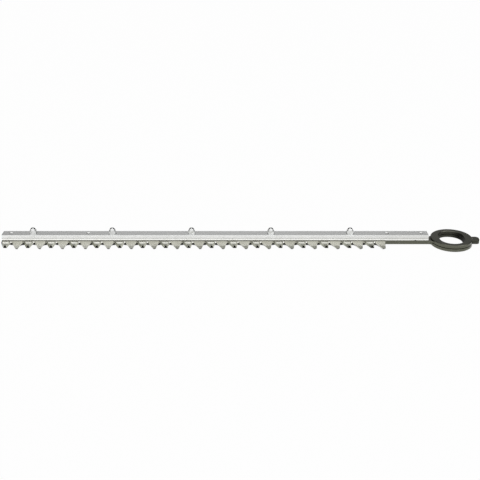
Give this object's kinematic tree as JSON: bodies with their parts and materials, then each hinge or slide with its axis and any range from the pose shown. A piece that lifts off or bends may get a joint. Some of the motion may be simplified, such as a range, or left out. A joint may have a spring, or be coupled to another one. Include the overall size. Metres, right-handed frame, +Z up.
{
  "type": "single-sided hedge trimmer blade assembly",
  "caption": "Two long toothed steel blades that slide under an aluminium guide bar held by domed nuts, each ending in a ring with an oval drive eye and a lug.",
  "frame": {"origin": "centre of the drive eye, on the shear plane between the two blades", "axes": "+X along the blades from the teeth to the lug, teeth towards -Y, +Z up through the guide bar"},
  "size_m": [0.7386, 0.064, 0.027],
  "materials": {
    "bar_aluminium": "satin mill finish",
    "blade_steel": "black oxide with bright ground teeth",
    "bolt_steel": "zinc plated",
    "collar_steel": "turned"
  },
  "bodies": {
    "guide": {"guide_bar": "bar_aluminium", "guide_bolts": "bolt_steel", "top_washers": "bolt_steel", "cap_nuts": "bolt_steel", "slot_collar_1": "collar_steel", "slot_collar_2": "collar_steel", "slot_collar_3": "collar_steel", "slot_collar_4": "collar_steel", "slot_collar_5": "collar_steel"},
    "upper_blade_body": {"upper_blade": "blade_steel"},
    "lower_blade_body": {"lower_blade": "blade_steel"}
  },
  "joints": [
    {"name": "upper_blade_slide", "type": "slide", "parent": "guide", "child": "upper_blade_body", "axis": [1, 0, 0], "range_m": [-0.005, 0.005]},
    {"name": "lower_blade_slide", "type": "slide", "parent": "guide", "child": "lower_blade_body", "axis": [1, 0, 0], "range_m": [-0.005, 0.005]}
  ]
}
